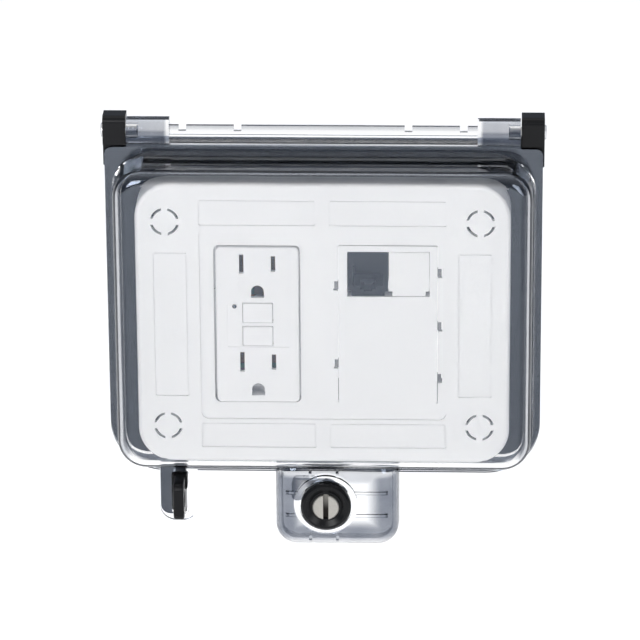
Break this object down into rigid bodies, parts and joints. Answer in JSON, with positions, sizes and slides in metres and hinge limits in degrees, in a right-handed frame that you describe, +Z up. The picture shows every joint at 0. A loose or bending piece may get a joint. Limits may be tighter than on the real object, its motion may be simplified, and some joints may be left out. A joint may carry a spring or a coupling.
{
  "type": "gfci outlet panel port",
  "caption": "Ground-fault duplex outlet beside a network jack on a white plate, in a black panel frame under a hinged clear cover with a slotted lock and padlock eye.",
  "frame": {"origin": "centre of the four panel screw holes, on the gasket's rear face where it meets the panel", "axes": "+X to the object's right seen from the front, +Y into the panel, +Z up; the cover faces -Y"},
  "size_m": [0.1778, 0.04, 0.1835],
  "materials": {
    "black_plastic": "satin moulded plastic",
    "white_plastic": "smooth satin moulded nylon",
    "clear_plastic": "clear polished polycarbonate",
    "grey_plastic": "fine matt",
    "dark_plastic": "fine matt",
    "rubber": "soft closed-cell rubber",
    "steel": "zinc plated",
    "lock_metal": "die-cast, tumbled",
    "brass": "plain brass",
    "gold": "gold flash",
    "green_metal": "green lacquer",
    "board_green": "solder mask",
    "coil_copper": "enamelled wire"
  },
  "bodies": {
    "base": {"frame_top_rail": "black_plastic", "frame_bottom_rail": "black_plastic", "frame_left_rail": "black_plastic", "frame_right_rail": "black_plastic", "padlock_staple": "black_plastic", "panel_neck": "black_plastic", "panel_gasket": "rubber", "lid_seal": "rubber", "hinge_pins": "steel", "face_plate": "white_plastic", "plate_screws": "steel", "outlet_face": "white_plastic", "outlet_body": "grey_plastic", "mounting_strap": "steel", "device_screws": "steel", "case_screws": "steel", "hot_terminal_screws": "brass", "neutral_terminal_screws": "steel", "ground_screw": "green_metal", "terminal_clamps": "steel", "hot_contacts": "brass", "neutral_contacts": "brass", "ground_contacts": "brass", "circuit_board": "board_green", "board_parts": "black_plastic", "sense_coils": "coil_copper", "trip_solenoid": "coil_copper", "test_spring": "steel", "reset_spring": "steel", "status_light": "clear_plastic", "keystone_insert": "white_plastic", "rj45_jack": "dark_plastic", "rj45_contacts": "gold", "jack_rear_cap": "dark_plastic", "blank_keystone": "white_plastic"},
    "lid": {"lid_cover": "clear_plastic", "lock_bezel": "black_plastic", "lock_washer": "rubber", "lock_nut": "black_plastic"},
    "lock": {"lock_core": "lock_metal", "lock_cam": "steel", "lock_cam_screw": "steel"},
    "test_key": {"test_button": "white_plastic"},
    "reset_key": {"reset_button": "white_plastic"},
    "plunger": {"solenoid_plunger": "steel"}
  },
  "joints": [
    {"name": "lid_hinge", "type": "hinge", "parent": "base", "child": "lid", "pos_m": [0, -0.0071, 0.0765], "axis": [-1, 0, 0], "range_deg": [0, 130]},
    {"name": "lock_turn", "type": "hinge", "parent": "lid", "child": "lock", "pos_m": [0.0006, -0.02, -0.0804], "axis": [0, 1, 0], "range_deg": [0, 90]},
    {"name": "test_press", "type": "slide", "parent": "base", "child": "test_key", "axis": [0, 1, 0], "range_m": [0, 0.0012], "stiffness_N_per_m": 300, "springref_m": -0.001, "deforming": ["test_spring"]},
    {"name": "reset_press", "type": "slide", "parent": "base", "child": "reset_key", "axis": [0, 1, 0], "range_m": [0, 0.0012], "stiffness_N_per_m": 300, "springref_m": -0.001, "deforming": ["reset_spring"]},
    {"name": "plunger_slide", "type": "slide", "parent": "base", "child": "plunger", "axis": [-1, 0, 0], "range_m": [0, 0.003], "stiffness_N_per_m": 100, "springref_m": -0.002}
  ]
}
